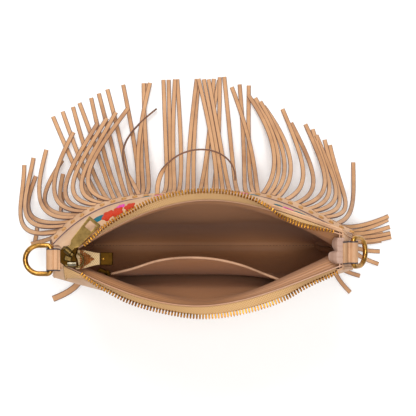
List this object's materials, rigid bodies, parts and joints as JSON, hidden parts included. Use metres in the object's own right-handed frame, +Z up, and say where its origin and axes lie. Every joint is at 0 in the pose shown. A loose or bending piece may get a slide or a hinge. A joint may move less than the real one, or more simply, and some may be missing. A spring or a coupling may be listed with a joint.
{
  "type": "fringed zip-top handbag",
  "caption": "Small leather crossbody handbag standing with its zip mouth pulled open, cut fringe under an embroidered yoke, cloth lining, D-rings for a strap.",
  "frame": {"origin": "middle of the flat base on the table", "axes": "+X along the bag towards the end with the zip slider, +Y from the fringed front to the back, +Z up"},
  "size_m": [0.4082, 0.2486, 0.1938],
  "materials": {
    "leather": "satin natural tan",
    "lining": "matt ribbed taupe",
    "zip_tape": "matt golden weave",
    "brass": "polished",
    "antique_brass": "antiqued satin"
  },
  "bodies": {
    "bag": {"front_panel": "leather", "back_panel": "leather", "base_panel": "leather", "front_yoke": "leather", "fringe": "leather", "pocket_binding": "leather", "tab_slider_end": "leather", "tab_far_end": "leather", "lining": "lining", "lining_flaps": "lining", "slip_pocket": "lining", "zip_tape_front": "zip_tape", "zip_tape_back": "zip_tape", "zip_tail": "zip_tape", "zip_teeth_front": "brass", "zip_teeth_back": "brass", "zip_end_cap": "brass", "pocket_clip": "brass", "zip_slider": "antique_brass"},
    "slider_ring": {"ring_slider_end": "antique_brass"},
    "far_ring": {"ring_far_end": "antique_brass"},
    "pull": {"zip_pull": "antique_brass"}
  },
  "joints": [
    {"name": "slider_ring_swing", "type": "hinge", "parent": "bag", "child": "slider_ring", "pos_m": [0.136, 0.0055, 0.17], "axis": [0, 1, 0], "range_deg": [-75, 68]},
    {"name": "far_ring_swing", "type": "hinge", "parent": "bag", "child": "far_ring", "pos_m": [-0.134, -0.001, 0.172], "axis": [0, -1, 0], "range_deg": [-127, 16]},
    {"name": "pull_swing", "type": "hinge", "parent": "bag", "child": "pull", "pos_m": [0.1168, -0.003, 0.191], "axis": [-0.766, 0.6428, 0], "range_deg": [0, 165]}
  ]
}
